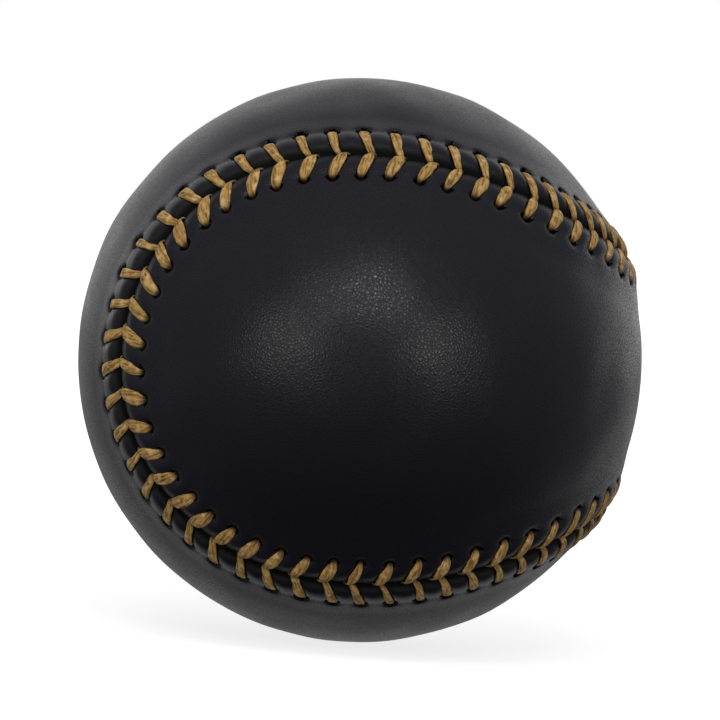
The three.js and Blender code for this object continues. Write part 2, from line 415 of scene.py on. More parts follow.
def makeTwist():
    # twisted strands of a yarn or thread, told by how far along it and how far around it a spot is
    s = twistSet
    names = {"Run": "Vector", "Strands": "Float", "Lay": "Float", "Fibres": "Float"}
    group, given, result = newGroup("twist", names, ("Height", "GapShade", "Streak"))
    split = shaderNode(group, "SeparateXYZ", {0: given["Run"]}).outputs
    turns = mathNode(group, "DIVIDE", split["X"], given["Lay"])
    phase = mathNode(group, "MULTIPLY_ADD", split["Y"], given["Strands"], turns)
    wave = mathNode(group, "SINE", mathNode(group, "MULTIPLY", phase, math.pi))
    strand = mathNode(group, "ABSOLUTE", wave)
    drawn = shaderNode(group, "CombineXYZ", {
        "X": mathNode(group, "MULTIPLY", split["X"], s["drawn"]),
        "Y": mathNode(group, "MULTIPLY", phase, given["Fibres"]),
    }).outputs[0]
    fibre = noiseNode(group, drawn, 1.0, s["fibreDetail"])["Fac"]
    group.links.new(mathNode(group, "MULTIPLY_ADD", fibre, s["fibreHeight"], strand), result["Height"])
    # a mask of the gaps between strands, for painted shade
    group.links.new(mapRange(group, strand, 0.0, s["gap"], 1.0, 0.0), result["GapShade"])
    group.links.new(mapRange(group, fibre, s["streakLow"], s["streakHigh"], 0.0, 1.0), result["Streak"])
    return group


pebbles = makePebbles()
twist = makeTwist()


def newFinish(name, roughness, **constants):
    finish = bpy.data.materials.new(name)
    finish.use_nodes = True
    tree = finish.node_tree
    surface = tree.nodes["Principled BSDF"]
    surface.inputs["Roughness"].default_value = roughness
    for label, value in constants.items():
        surface.inputs[label.replace("_", " ")].default_value = value
    return finish, tree, surface.inputs


def pebbled(tree, look, place):
    sizes = {"Pebbles": "pebble", "Wrinkles": "wrinkle", "Patches": "patch"}
    scales = {label: 1 / (look[name] * mm) for label, name in sizes.items()}
    return shaderNode(tree, "Group", {"Place": place, **scales}, node_tree=pebbles).outputs


def mark(tree, name):
    # a value that is stored with the points of a mesh
    return shaderNode(tree, "Attribute", attribute_name=name).outputs["Fac"]


def bumped(tree, surface, height, distance, strength=1.0):
    made = shaderNode(tree, "Bump", {"Height": height, "Distance": distance * mm, "Strength": strength})
    tree.links.new(made.outputs[0], surface["Normal"])


leatherLook = dict(
    face=(0.0038, 0.0042, 0.0120, 1),
    # crease: the darker colour of the grain's creases, painted shade
    crease=(0.0021, 0.0022, 0.0056, 1),
    # shade: painted shade, at the seam and in the stitch holes
    shade=(0.0010, 0.0010, 0.0012, 1),
    # the paler colour of the front panel's cut edge is a painted highlight
    cutEdgeHighlight=(0.030, 0.030, 0.032, 1),
    dust=(0.22, 0.22, 0.23, 1),
    pebble=0.42,
    wrinkle=0.13,
    patch=7.0,
    smooth=0.16,  # roughness, from patch to patch
    rough=0.20,
    creased=0.28,  # how much rougher the creases are
    evened=0.65,  # the share of that all over where the pebbles are weak
    grainDepth=0.012,
    dustSpacing=7.5,
    dustSize=0.11,
    dustCore=0.6,  # the part of a speck that is fully pale
    dustMissing=0.62,  # the share of places without a speck
)


def makeLeather():
    look = leatherLook
    finish, tree, surface = newFinish("black_leather", look["smooth"])
    place = objectPlace(tree)
    grain = pebbled(tree, look, place)
    # the grain's creases are mixed darker: painted shade in the creases
    skin = mixColor(tree, grain["Crease"], look["face"], look["crease"])
    dullShade = mark(tree, "dullShade")
    # near the seam and round the holes the leather is rough and painted dark: painted shade
    skin = mixColor(tree, dullShade, skin, look["shade"])
    # a paler line on the cut edge of the front panel: painted highlight
    skin = mixColor(tree, mark(tree, "cutEdgeHighlight"), skin, look["cutEdgeHighlight"])
    spacing = look["dustSpacing"]
    specks = shaderNode(tree, "TexVoronoi", {"Vector": place, "Scale": 1 / (spacing * mm)}).outputs
    speckSize = look["dustSize"] / spacing
    lot = shaderNode(tree, "SeparateColor", {0: specks["Color"]}).outputs[0]
    chosen = mathNode(tree, "GREATER_THAN", lot, look["dustMissing"])
    small = mapRange(tree, specks["Distance"], speckSize * look["dustCore"], speckSize, 1.0, 0.0)
    dusty = mathNode(tree, "MULTIPLY", small, chosen)
    tree.links.new(mixColor(tree, dusty, skin, look["dust"]), surface["Base Color"])
    sheen = mapRange(tree, grain["Patch"], 0.0, 1.0, look["smooth"], look["rough"])
    strong = mark(tree, "grain")
    evened = mathNode(tree, "MULTIPLY_ADD", strong, -look["evened"], look["evened"])
    creases = mathNode(tree, "MULTIPLY_ADD", grain["Crease"], strong, evened)
    sheen = mathNode(tree, "MULTIPLY_ADD", creases, look["creased"], sheen)
    matt = mathNode(tree, "MAXIMUM", sheen, dullShade)
    tree.links.new(mathNode(tree, "MAXIMUM", matt, dusty), surface["Roughness"])
    bumped(tree, surface, grain["Height"], look["grainDepth"], strong)
    return finish


# the stitch holes are painted black and nearly without sheen: painted shade
holeShadeLook = dict(roughness=1.0, Specular_IOR_Level=0.02, Base_Color=leatherLook["shade"])


def twisted(tree, look):
    run = shaderNode(tree, "UVMap", uv_map="run").outputs[0]
    inputs = {"Run": run, "Strands": look["strands"], "Lay": look["lay"], "Fibres": look["fibres"]}
    return shaderNode(tree, "Group", inputs, node_tree=twist).outputs


threadLook = dict(
    gold=(0.54, 0.324, 0.088, 1),
    # pale: the colour of the pale patches, partly faded fibres and partly painted highlight
    pale=(0.74, 0.50, 0.225, 1),
    brown=(0.12, 0.055, 0.014, 1),
    # the darker colour where the thread goes down into a hole and into the seam: painted shade
    sunkShade=(0.045, 0.024, 0.010, 1),
    strands=3.0,
    lay=9.0,
    fibres=6.0,
    gap=0.55,  # how dark the painted shade in the gaps between strands is
    fadeAndHighlight=0.9,  # size of the pale patches, partly faded fibres and partly painted highlight
    fadeDetail=2.0,
    fadeLow=0.46,
    fadeHigh=0.70,
    fadedAndHighlit=0.8,
    roughness=0.5,
    specular=0.3,
    depth=0.07,
)


def makeThread():
    look = threadLook
    shine = dict(roughness=look["roughness"], Specular_IOR_Level=look["specular"])
    finish, tree, surface = newFinish("gold_waxed_thread", **shine)
    strands = twisted(tree, look)
    color = mixColor(tree, strands["Streak"], look["brown"], look["gold"])
    # pale patches at random: partly faded fibres, partly painted highlight
    patches = noiseNode(tree, objectPlace(tree), 1 / (look["fadeAndHighlight"] * mm), look["fadeDetail"])
    fadeAndHighlight = mapRange(tree, patches["Fac"], look["fadeLow"], look["fadeHigh"], 0.0, look["fadedAndHighlit"])
    color = mixColor(tree, fadeAndHighlight, color, look["pale"])
    # the gaps between strands are painted brown: painted shade
    color = mixColor(tree, mathNode(tree, "MULTIPLY", strands["GapShade"], look["gap"]), color, look["brown"])
    # painted shade where the thread sinks into its hole and into the seam
    tree.links.new(mixColor(tree, mark(tree, "sunkShade"), color, look["sunkShade"]), surface["Base Color"])
    bumped(tree, surface, strands["Height"], look["depth"])
    return finish


yarnLook = dict(
    gray_wool=dict(light=(0.33, 0.32, 0.305, 1), dark=(0.15, 0.145, 0.14, 1), strands=4.0, lay=11.0),
    white_wool=dict(light=(0.74, 0.71, 0.63, 1), dark=(0.42, 0.39, 0.33, 1), strands=3.0, lay=9.0),
    finishing_yarn=dict(light=(0.82, 0.79, 0.73, 1), dark=(0.55, 0.52, 0.46, 1), strands=2.0, lay=3.5),
)

# one of these sets how dark the painted shade in the gaps between strands is
yarnShared = dict(roughness=0.92, sheen=0.35, fibres=5.0, gap=0.6, depth=0.12)


def makeYarn(slot):
    look = {**yarnShared, **yarnLook[slot]}
    finish, tree, surface = newFinish(slot, look["roughness"], Sheen_Weight=look["sheen"])
    strands = twisted(tree, look)
    color = mixColor(tree, strands["Streak"], look["dark"], look["light"])
    # the gaps between strands are painted dark: painted shade
    color = mixColor(tree, mathNode(tree, "MULTIPLY", strands["GapShade"], look["gap"]), color, look["dark"])
    tree.links.new(color, surface["Base Color"])
    bumped(tree, surface, strands["Height"], look["depth"])
    return finish


mouldedLook = dict(
    cork=dict(
        light=(0.46, 0.25, 0.11, 1), dark=(0.16, 0.075, 0.03, 1),
        pebble=1.5, roughness=0.9, depth=0.16,
    ),
    black_rubber=dict(
        light=(0.014, 0.014, 0.015, 1), dark=(0.008, 0.008, 0.009, 1),
        pebble=0.35, roughness=0.66, depth=0.012,
    ),
    red_rubber=dict(
        light=(0.36, 0.028, 0.020, 1), dark=(0.24, 0.016, 0.012, 1),
        pebble=0.4, roughness=0.55, depth=0.012,
    ),
)

# one of these sets how much darker the random patches are, an uneven tone, and the creases, painted shade
mouldedShared = dict(wrinkles=4, patch=5.0, toneAndShade=0.5, uneven=0.06)  # wrinkles: how many across a pebble


def makeMoulded(slot):
    look = {**mouldedShared, **mouldedLook[slot]}
    finish, tree, surface = newFinish(slot, look["roughness"])
    look["wrinkle"] = look["pebble"] / look["wrinkles"]
    grain = pebbled(tree, look, objectPlace(tree))
    # darker in random patches, an uneven tone, and in the creases, painted shade
    creased = mathNode(tree, "MULTIPLY", grain["Crease"], look["toneAndShade"])
    toneAndShade = mathNode(tree, "MULTIPLY_ADD", grain["Patch"], look["toneAndShade"], creased)
    tree.links.new(mixColor(tree, toneAndShade, look["light"], look["dark"]), surface["Base Color"])
    low, high = look["roughness"] - look["uneven"], look["roughness"] + look["uneven"]
    tree.links.new(mapRange(tree, grain["Patch"], 0.0, 1.0, low, high), surface["Roughness"])
    bumped(tree, surface, grain["Height"], look["depth"])
    return finish


finishes = {
    "black_leather": makeLeather(),
    "stitch_hole_shade": newFinish("stitch_hole_shade", **holeShadeLook)[0],
    "gold_thread": makeThread(),
    **{slot: makeYarn(slot) for slot in yarnLook},
    **{slot: makeMoulded(slot) for slot in mouldedLook},
}
print("finishes mixed:", ", ".join(finishes))


# Pieces: each stands for the solid of its name

def makePiece(name, slot, parts, marks=None, holes=None):
    # joins closed parts, each as (points, [face arrays], uv arrays or None), into one mesh on the ball.
    # Marks are values at its points, and the faces in holes have the finish of a stitch hole: black without
    # sheen, painted shade.
    points, faces, uvs = [], [], []
    for spots, faceSets, uvSets in parts:
        start = sum(len(p) for p in points)
        way = 1 if sum(signedVolume(spots, f) for f in faceSets) > 0 else -1  # -1 turns the faces round
        for i, faceSet in enumerate(faceSets):
            faces += (faceSet[:, ::way] + start).tolist()
            if uvSets is not None:
                uvs.append(uvSets[i][:, ::way].reshape(-1, 2))
        points.append(spots)
    mesh = bpy.data.meshes.new(name)
    mesh.from_pydata(np.vstack(points) * mm, [], faces, shade_flat=False)
    if uvs:
        layer = mesh.uv_layers.new(name="run")
        layer.uv.foreach_set("vector", np.vstack(uvs).astype(np.float32).ravel())
    for label, values in (marks or {}).items():
        mesh.attributes.new(label, "FLOAT", "POINT").data.foreach_set("value", values.astype(np.float32))
    mesh.materials.append(finishes[slot])
    if holes is not None:
        mesh.materials.append(finishes["stitch_hole_shade"])
        mesh.polygons.foreach_set("material_index", holes.astype(np.int32))
    mesh.update()
    piece = addObject(name, mesh)
    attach(piece, "root")
    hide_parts(name)
    print(name, "made,", len(faces), "faces")


# Leather cover: two panels of the same cut, raised along the seam and drawn in by every stitch

panelSet = dict(
    grain={front: 1.0, back: 0.45},  # how strongly the pebbles stand out
    thickness=1.25,
    columns=12,  # for each stitch
    crowding=0.5,  # how much closer the columns stand at a leg than between two
    bandEnd=8.2,  # from the seam to where the leather lies flat on the winding
    midlineEnd=100.0,  # degrees from the waist along the middle of the panel
    insideRows=20,
    underRows=8,
    edgeGap=0.13,  # from the seam to the cut edge, between stitches
    edgeOpen=0.28,  # how much wider it opens where a leg goes in
    edgeOpenWidth=0.5,
    edgeRound=0.22,
    cornerRows=5,
    sparse=(1, 0.72, 5),  # shares of the band for its rows, first, last and how many, away from the seam
    dense=(0.66, 0, 23),  # and near it
    wall=((0, 0.40), (0.06, 0.75)),  # rows of the cut edge: how far in and how far down
    cutHighlight={front: 0.5, back: 0.0},  # how strong the painted highlight on the cut edge is
    cutRows=2,  # and in how many rows of the corner
    underIn=0.12,  # from the edge to the first row underneath
    underDrop=0.08,
    underBandRows=6,
    gather=1.25,  # power that draws the rows inside towards the band
    swell={front: 0.44, back: 0.36},  # height of the whole band over the ball
    swellStart=3.1,
    step={front: 0.07, back: 0.12},  # fall just before the holes
    stepBefore=0.15,  # from its middle to the holes
    stepWidth=0.28,
    ridge=0.20,  # height of the rounded ridge on top of it
    ridgeAt=2.05,
    ridgeWidth=1.05,
    lip={front: 0.45, back: 0.80},  # how far the edge rolls down into the seam
    lipWidth={front: 0.45, back: 0.70},
    groove=0.12,  # along the line of holes
    grooveBeyond=0.3,
    grooveWidth=0.7,
    grooveLost=0.8,  # the share that is lost between two legs
    seamShade=1.1,  # how far from the seam its shade reaches
    wideShade=0.25,  # a fainter one
    wideShadeEnd=2.6,
    pillow=0.17,  # bulge between two legs
    pillowAt=2.4,
    pillowWidth=1.9,
    bite=0.27,  # how far a leg presses into the leather
    biteWidth=0.72,
    biteBeyond=0.5,
    biteFade=0.8,
    bitePull=0.15,  # how much it differs from leg to leg
    pit=1.25,  # depth of a stitch hole
    pitPull=0.12,
    pitBeyond={front: 0.32, back: 0.56},  # its middle beyond the end of the leg
    pitAlong={front: 0.58, back: 0.60},
    pitAcross={front: 0.42, back: 0.58},
    pitDullShade=1.7,  # squared distance from its middle where the leather is still rough and painted dark as shade
    pitDark=1.4,  # and where the hole's black, painted shade, ends
    darkShare=0.3,  # the part of a face that has to lie in it
    pucker=0.16,  # crease that runs on from a hole
    puckerReach=1.7,
    puckerWidth=0.75,
    uneven=0.035,
)

unevenness = waves(seed=41, count=28, shortest=6.0, longest=15.0)


def bandRise(side, across, hole):
    # the band's own section: a swell that falls as half a cosine wave, with a step and a ridge on it
    p = panelSet
    fall = np.clip((across - p["swellStart"]) / (p["bandEnd"] - p["swellStart"]), 0, 1)
    ridge = p["ridge"] * bell(across - p["ridgeAt"], p["ridgeWidth"])
    step = p["step"][side] * (0.5 - 0.5 * np.tanh((across - hole + p["stepBefore"]) / p["stepWidth"]))
    return p["swell"][side] * (0.5 + 0.5 * np.cos(math.pi * fall)) + step + ridge


def sewnRelief(side, across, offset, hole, pull, lift):
    # the band between and under the legs: bell-shaped dents of the legs and holes, with pillows between
    p = panelSet
    lip = -p["lip"][side] * bell(across - p["edgeGap"], p["lipWidth"][side])
    between = np.sin(math.pi * offset / stitchPitch) ** 2
    pillow = p["pillow"] * between * bell(across - p["pillowAt"], p["pillowWidth"])
    underLeg = np.clip((hole + p["biteBeyond"] - across) / p["biteFade"], 0, 1)
    bite = -p["bite"] * (1 + p["bitePull"] * pull) * bell(offset, p["biteWidth"]) * underLeg
    beyond = across - hole - p["pitBeyond"][side]
    round2 = (beyond / p["pitAcross"][side]) ** 2 + (offset / p["pitAlong"][side]) ** 2
    pit = -p["pit"] * (1 + p["pitPull"] * pull) * bell(round2, 1)
    trail = np.clip((across - hole) / p["puckerReach"], 0, 1)
    pucker = -p["pucker"] * bell(offset, p["puckerWidth"]) * np.sin(math.pi * trail) ** 2
    inGroove = bell(across - hole - p["grooveBeyond"], p["grooveWidth"])
    drawnIn = -p["groove"] * inGroove * (1 - p["grooveLost"] * between)
    wideShade = p["wideShade"] * np.exp(-(across / p["wideShadeEnd"]) ** 4)
    shade = bell(across, p["seamShade"]) + wideShade
    # the leather near the seam and round each hole is rough and painted dark: painted shade
    dullShade = np.maximum(bell(round2, p["pitDullShade"]), np.minimum(shade, 1))
    rise = bandRise(side, across, hole) * lift + lip + pillow + bite + pit + pucker + drawnIn
    return rise, dullShade, round2 < p["pitDark"]


def slide(start, end, share):
    # along the great circle from one unit vector to another
    angle = np.arccos(np.clip((start * end).sum(-1, keepdims=True), -1, 1))
    return (start * np.sin((1 - share) * angle) + end * np.sin(share * angle)) / np.sin(angle)


def coverPanel(name, side, firstStitch):
    # grid: columns run along the seam with its legs, rows go from the panel's middle over the outside,
    # round the cut edge and back underneath. The columns of its two halves meet in the middle.
    p = panelSet
    columns = stitchCount * p["columns"]
    share = np.arange(columns) / p["columns"]
    stitch = firstStitch + share - p["crowding"] / fullTurn * np.sin(fullTurn * share)
    offset = (stitch - np.round(stitch)) * stitchPitch
    hole, lean, pull, place = (legValue(side, label, stitch) for label in ("hole", "lean", "pull", "place"))

    edge = p["edgeGap"] + p["edgeOpen"] * bell(offset, p["edgeOpenWidth"])
    roundStart = edge + p["edgeRound"]
    corner = np.linspace(math.pi / 2, 0, p["cornerRows"])[1:, None]
    cornerAcross = edge + p["edgeRound"] * (1 - np.cos(corner))
    cornerDrop = p["edgeRound"] * (1 - np.sin(corner)) * np.ones(columns)
    bandShares = np.concatenate([np.linspace(*p["sparse"])[:-1], np.linspace(*p["dense"])])[:, None]
    bandAcross = roundStart + bandShares * (p["bandEnd"] - roundStart)
    across = np.vstack([bandAcross, cornerAcross])
    drop = np.vstack([np.zeros_like(bandAcross), cornerDrop])
    lift = seamLift(stitch)
    rise, dullShade, inHole = sewnRelief(side, across, offset, hole, pull, lift)

    wallIn, wallDown = np.array(p["wall"]).T[:, :, None]
    wallAcross = edge + wallIn
    wallRise = rise[-1] - wallDown
    underShares = np.linspace(0, 1, p["underBandRows"])[:, None]
    underAcross = edge + p["underIn"] + underShares * (p["bandEnd"] - edge - p["underIn"])
    underRise = bandRise(side, underAcross, hole) * lift - p["thickness"]
    underRise[0] -= p["underDrop"]

    allAcross = np.vstack([across, wallAcross, underAcross])
    allRise = np.vstack([rise - drop, wallRise, underRise])
    # the columns of both panels lean at the seam as the back legs do
    along = stitch + legShift(back, allAcross, hole, lean, place)
    band = besideSeam(along, side * allAcross, np.zeros_like(allAcross)) / ballRadius

    turn = np.unwrap(turnAt(stitch))
    mirrored = np.append(turn[0] + fullTurn, turn[:0:-1])
    angle = (turn - mirrored + fullTurn) / 2
    along = math.radians(p["midlineEnd"]) * np.cos(angle)
    if side == front:
        middle = np.stack([np.cos(along), np.sin(along), np.zeros(columns)], axis=-1)
    else:
        middle = np.stack([-np.cos(along), np.zeros(columns), -np.sin(along)], axis=-1)
    insideShares = np.linspace(1, 0, p["insideRows"] + 1)[:-1, None, None] ** p["gather"]
    underInShares = np.linspace(0, 1, p["underRows"] + 1)[1:, None, None]
    inside = slide(band[:1], middle[None], insideShares)
    under = slide(band[-1:], middle[None], underInShares)

    half = columns // 2
    rows = np.concatenate([inside[1:], band, under[:-1]])
    underneath = np.full((len(under) - 1, columns), -p["thickness"])
    rises = np.vstack([np.zeros((len(inside) - 1, columns)), allRise, underneath])
    ends = np.concatenate([inside[0, :half + 1], under[-1, :half + 1]])
    endRises = np.concatenate([np.zeros(half + 1), np.full(half + 1, -p["thickness"])])
    places = np.concatenate([rows.reshape(-1, 3), ends])
    height = np.concatenate([rises.ravel(), endRises])
    points = places * (ballRadius + height + p["uneven"] * unevenness(places * ballRadius))[:, None]

    grid = ringFaces(len(rows), columns)
    column = np.arange(columns)
    after = (column + 1) % columns
    shared = np.minimum(column, columns - column)
    sharedAfter = np.minimum(after, columns - after)
    endStart = len(rows) * columns
    lastRow = (len(rows) - 1) * columns
    top = np.stack([endStart + shared, column, after, endStart + sharedAfter], axis=-1)
    low = endStart + half + 1
    bottom = np.stack([lastRow + column, low + shared, low + sharedAfter, lastRow + after], axis=-1)

    def fromRow(row, values):
        filled = np.zeros(len(points))
        filled[row * columns:row * columns + values.size] = values.ravel()
        return filled

    first = len(inside) - 1
    # the front panel's cut edge is painted paler: a painted highlight
    cut = np.full((p["cutRows"], columns), p["cutHighlight"][side])
    marks = dict(
        dullShade=fromRow(first, dullShade),
        cutEdgeHighlight=fromRow(first + len(bandAcross), cut),
        grain=np.full(len(points), p["grain"][side]),
    )
    # faces that lie in a stitch hole get its black: painted shade
    deep = fromRow(first, inHole)
    holes = np.append(deep[grid].mean(axis=1) > p["darkShare"], np.zeros(len(top) + len(bottom), bool))
    makePiece(name, "black_leather", [(points, [grid, top, bottom], None)], marks, holes)


coverPanel("cover_panel_front", front, 0)
coverPanel("cover_panel_back", back, stitchCount // 4)


# Thread: up through a hole, over the leather, down into the seam, under the other panel to its next hole

threadSet = dict(
    sides=12,
    between=3,  # rings from key to key
    flat=0.72,  # powers of the section, below 1 for a flattened strand
    thick=0.85,
    widthWander=0.05,
    keyHole=3.80,  # the distance of the hole in the keys
    keyFollows=2,  # keys further from the seam than this follow the leg's own hole
    shadeAtHole=0.8,
    shadeTop=0.45,  # height over the ball where the painted shade at the hole starts
    shadeInSeam=0.7,
    shadeSeamAt=-0.3,
    shadeSeamWidth=0.5,
    keys={  # distance from the seam, height over the ball, width, thickness
        front: np.array([
            (3.86, -1.40, 0.70, 0.50),  # below the hole
            (3.98, -0.50, 0.70, 0.52),
            (3.92, 0.16, 0.88, 0.52),  # at the hole's rim
            (3.42, 0.50, 1.24, 0.50),
            (2.50, 0.70, 1.52, 0.50),
            (1.60, 0.76, 1.52, 0.50),  # on the ridge
            (0.92, 0.68, 1.26, 0.48),
            (0.42, 0.50, 0.68, 0.38),
            (0.10, 0.24, 0.28, 0.26),  # the thin end, along the seam
            (-0.06, -0.15, 0.26, 0.26),
            (-0.06, -0.95, 0.34, 0.34),  # at the bottom of the seam
            (-1.80, -1.42, 0.60, 0.45),  # under the other panel
        ]),
        back: np.array([
            (3.86, -1.40, 0.70, 0.50),
            (3.98, -0.50, 0.86, 0.52),
            (3.90, 0.16, 1.16, 0.52),
            (3.42, 0.51, 1.26, 0.50),
            (2.50, 0.70, 1.20, 0.50),
            (1.60, 0.74, 1.12, 0.50),
            (0.97, 0.65, 0.98, 0.48),
            (0.50, 0.49, 0.90, 0.44),
            (0.14, 0.20, 0.74, 0.40),  # under the other side's thin end
            (0.02, -0.30, 0.52, 0.36),
            (0.06, -0.95, 0.40, 0.34),
            (-1.80, -1.42, 0.60, 0.45),
        ]),
    },
)


def stitchThread(name, firstSide, seed):
    # a flattened circle carried along one smooth curve through the keys of its legs, which change sides
    s = threadSet
    leg = np.arange(stitchCount)
    side = np.where(leg % 2 == 0, firstSide, -firstSide)
    draw = np.random.default_rng(seed)
    wander = 1 + s["widthWander"] * draw.standard_normal((stitchCount, len(s["keys"][front])))
    rows = {}
    for way in (front, back):
        own = {label: values[:, None] for label, values in sewn[way].items()}
        keyAcross, keyHeight, keyWidth, keyThick = s["keys"][way].T
        across = np.where(keyAcross > s["keyFollows"], keyAcross * own["hole"] / s["keyHole"], keyAcross)
        along = leg[:, None] + legShift(way, across, own["hole"], own["lean"], own["place"])
        along[:, -1] = (along[:, -2] + leg + 1) / 2
        rows[way] = np.stack([
            along, way * across, np.where(keyHeight > 0, keyHeight * seamLift(leg)[:, None], keyHeight),
            keyWidth * own["width"] * wander, np.broadcast_to(keyThick, across.shape),
        ], axis=-1)
    keys = np.where((side == front)[:, None, None], rows[front], rows[back]).reshape(-1, 5)[:-1]
    stitch, distance, height, width, thick = smoothRun(keys, s["between"]).T

    path = besideSeam(stitch, distance, height)
    heading = unit(np.gradient(path, axis=0))
    along = seamHeading(turnAt(stitch))
    wide = squareTo(heading, along)
    deep = np.cross(heading, wide)
    section = flattenedRing(s["sides"], s["flat"], s["thick"])
    tube = carriedProfile(path, wide * width[:, None] / 2, deep * thick[:, None] / 2, section)
    # the thread is painted darker as it goes down into its hole and into the seam: painted shade
    atHole = np.clip((s["shadeTop"] - height) / s["shadeTop"], 0, 1) * (np.abs(distance) > s["keyFollows"])
    inSeam = bell(height - s["shadeSeamAt"], s["shadeSeamWidth"])
    sunkShade = np.repeat(np.clip(s["shadeAtHole"] * atHole + s["shadeInSeam"] * inSeam, 0, 1), s["sides"])
    makePiece(name, "gold_thread", [tube], {"sunkShade": sunkShade})


stitchThread("stitch_thread_one", front, seed=1)
stitchThread("stitch_thread_two", back, seed=2)


# Pieces inside the cover, turned about X as their solids are

layerGap = 0.15  # between a layer and the next


def outside(node):
    return -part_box(node)[0].x / mm


def aboutX(radius, place, angle):
    return np.stack([place + 0 * angle, radius * np.cos(angle), radius * np.sin(angle)], axis=-1)


def turnedPart(profile, around):
    # a profile of (radius, place along X) turned about X: its first and last points lie on the axis
    angle = fullTurn * np.arange(around) / around
    rings = aboutX(profile[1:-1, :1], profile[1:-1, 1:], angle)
    poles = np.array([(profile[0, 1], 0, 0), (profile[-1, 1], 0, 0)])
    points = np.concatenate([rings.reshape(-1, 3), poles])
    column = np.arange(around)
    after = (column + 1) % around
    last = (len(profile) - 3) * around
    pole = len(points) - 2
    firstFan = np.stack([np.full(around, pole), column, after], axis=-1)
    lastFan = np.stack([last + column, np.full(around, pole + 1), last + after], axis=-1)
    faces = [ringFaces(len(profile) - 2, around), firstFan, lastFan]
    return points, faces, [np.zeros(f.shape + (2,)) for f in faces]


def arc(radius, start, end, count):
    # part of a circle in (radius, place), by its angle from the axis in degrees
    angle = np.radians(np.linspace(start, end, count))
    return np.stack([radius * np.sin(angle), radius * np.cos(angle)], axis=-1)


corkSet = dict(around=96, steps=49, lumps=0.12, lumpLow=-2.0, lumpHigh=0.6)
corkRadius = outside("cork_center")
corkLumps = waves(seed=5, count=40, shortest=1.6, longest=4.0)


def corkBall():
    # a ball pressed from granules: its radius rises and falls by a sum of short waves
    s = corkSet
    points, faces, uvs = turnedPart(arc(corkRadius, 0, 180, s["steps"]), s["around"])
    lumps = s["lumps"] * np.clip(corkLumps(points), s["lumpLow"], s["lumpHigh"]) / 2
    points = points * (1 + (lumps - s["lumps"] / 2) / corkRadius)[:, None]
    makePiece("cork_center", "cork", [(points, faces, uvs)])


corkBall()

halfSet = dict(around=96, steps=25, round=0.25, cornerRows=4)


def halfBall(name, slot, below, outer, cut, mirror):
    # outline of a half: the outer arc, a rim with rounded corners, and the inner arc
    s = halfSet
    inner = below + layerGap

    def rim(radius, turn):
        corner = np.radians(np.linspace(0, 90, s["cornerRows"]))[:, None] + turn
        middle = np.array([[math.sqrt(radius ** 2 - cut ** 2), cut]])
        inward = s["round"] * (1 if turn else -1)
        return middle + [[inward, s["round"]]] - s["round"] * np.hstack([-np.cos(corner), np.sin(corner)])

    low, lowInner = (math.degrees(math.acos((cut + s["round"]) / radius)) for radius in (outer, inner))
    profile = np.vstack([
        arc(outer, 0, low, s["steps"]), rim(outer, 0),
        rim(inner, math.pi / 2), arc(inner, lowInner, 0, s["steps"]),
    ])
    if mirror:
        profile = profile * [1, -1]
    makePiece(name, slot, [turnedPart(profile, s["around"])])


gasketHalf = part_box("rubber_gasket")[1].x / mm
shellRadius = outside("black_rubber_shell_left")
cupRadius = outside("red_rubber_cup_left")
shellCut = gasketHalf + layerGap
for mirror, hand in ((False, "right"), (True, "left")):
    halfBall("black_rubber_shell_" + hand, "black_rubber", corkRadius, shellRadius, shellCut, mirror)
    halfBall("red_rubber_cup_" + hand, "red_rubber", shellRadius, cupRadius, layerGap / 2, mirror)

gasketSet = dict(
    around=96,
    sides=24,
    square=0.35,  # power of its section, for rounded corners
    inset=0.1,  # from the outside of the shells
)


def gasket():
    # a washer: a rounded square section carried round a circle about X
    s = gasketSet
    around, sides = s["around"], s["sides"]
    inner, outer = corkRadius + layerGap, shellRadius - s["inset"]
    edges = flattenedRing(sides, s["square"], s["square"])
    radius = (inner + outer) / 2 + (outer - inner) / 2 * edges[:, 0]
    turn = fullTurn * np.arange(around)[:, None] / around
    rings = aboutX(radius, gasketHalf * edges[:, 1], turn)
    column = np.arange(sides)
    after = (column + 1) % sides
    last = (around - 1) * sides
    closing = np.stack([last + column, column, after, last + after], axis=-1)
    faces = np.vstack([ringFaces(around, sides), closing])
    makePiece("rubber_gasket", "red_rubber", [(rings.reshape(-1, 3), [faces], None)])


gasket()

windingSet = dict(
    channel=1.5,  # radius of the channel at the right, where the yarn starts
    around=64,
    steps=33,
    sides=6,
    perTurn=40,  # rings of the yarn for each time round the ball
    coreDepth=0.55,  # in yarns, from the outside to the core
    sunk=0.62,  # in yarns, from the outside to the middle of the first turn
    climb=0.12,  # how much higher the last turn lies
    poleStart=12,  # degrees from X to the pole of the first turn
    poleReach=78,  # how far it goes on from there
    poleStep=26.5,  # degrees around X, from turn to turn
)

yarns = dict(
    gray_wool_winding=dict(slot="gray_wool", below="red_rubber_cup_left", yarn=1.6, turns=84),
    white_wool_winding=dict(slot="white_wool", below="gray_wool_winding", yarn=1.2, turns=100),
    outer_wool_winding=dict(slot="gray_wool", below="white_wool_winding", yarn=1.2, turns=100),
    finishing_winding=dict(slot="finishing_yarn", below="outer_wool_winding", yarn=0.32, turns=110),
)


